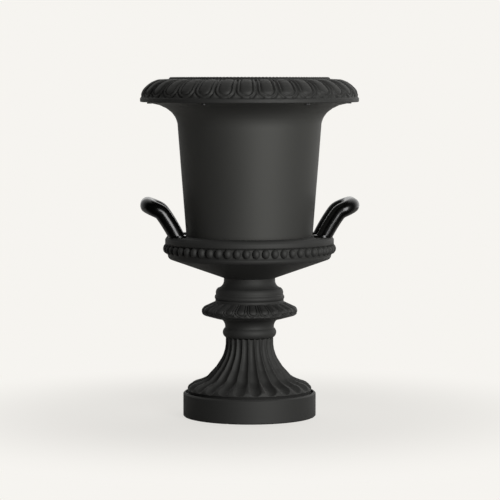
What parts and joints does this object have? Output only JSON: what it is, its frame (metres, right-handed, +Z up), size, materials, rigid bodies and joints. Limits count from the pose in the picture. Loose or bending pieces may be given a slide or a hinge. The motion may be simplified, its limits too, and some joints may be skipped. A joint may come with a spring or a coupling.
{
  "type": "urn planter",
  "caption": "Classical bell-shaped cast-iron garden urn on a fluted foot and round plinth, with an egg-and-dart rim, a beaded lower bowl and side handles.",
  "frame": {"origin": "on the ground at the middle of the plinth, at the bottom centre of the bounding box", "axes": "+Z up along the urn's axis; X runs through the two handles; -Y is the front of the picture"},
  "size_m": [0.4882, 0.4882, 0.7596],
  "materials": {
    "aged_iron": "black satin cast iron, waxed, with worn bright edges and a slightly grainy skin",
    "brushed_iron": "dark grey cast iron, brushed up and down, with streaks and fine scratches",
    "zinc_steel": "dull zinc-plated steel",
    "black_bar": "matt black painted steel bar"
  },
  "bodies": {
    "root": {"plinth": "aged_iron", "fluted_foot": "aged_iron", "stem_collar": "aged_iron", "stem_neck": "aged_iron", "lower_bowl": "aged_iron", "bell_body": "brushed_iron", "rim_lip": "aged_iron", "handle_left": "aged_iron", "handle_right": "aged_iron", "handle_bolts": "zinc_steel", "handle_washers": "zinc_steel", "tie_rod": "zinc_steel", "top_plate_washer": "zinc_steel", "top_nut": "zinc_steel", "clamp_bar": "black_bar", "bottom_washer": "zinc_steel", "bottom_nut": "zinc_steel", "rim_screws": "zinc_steel"}
  },
  "joints": []
}
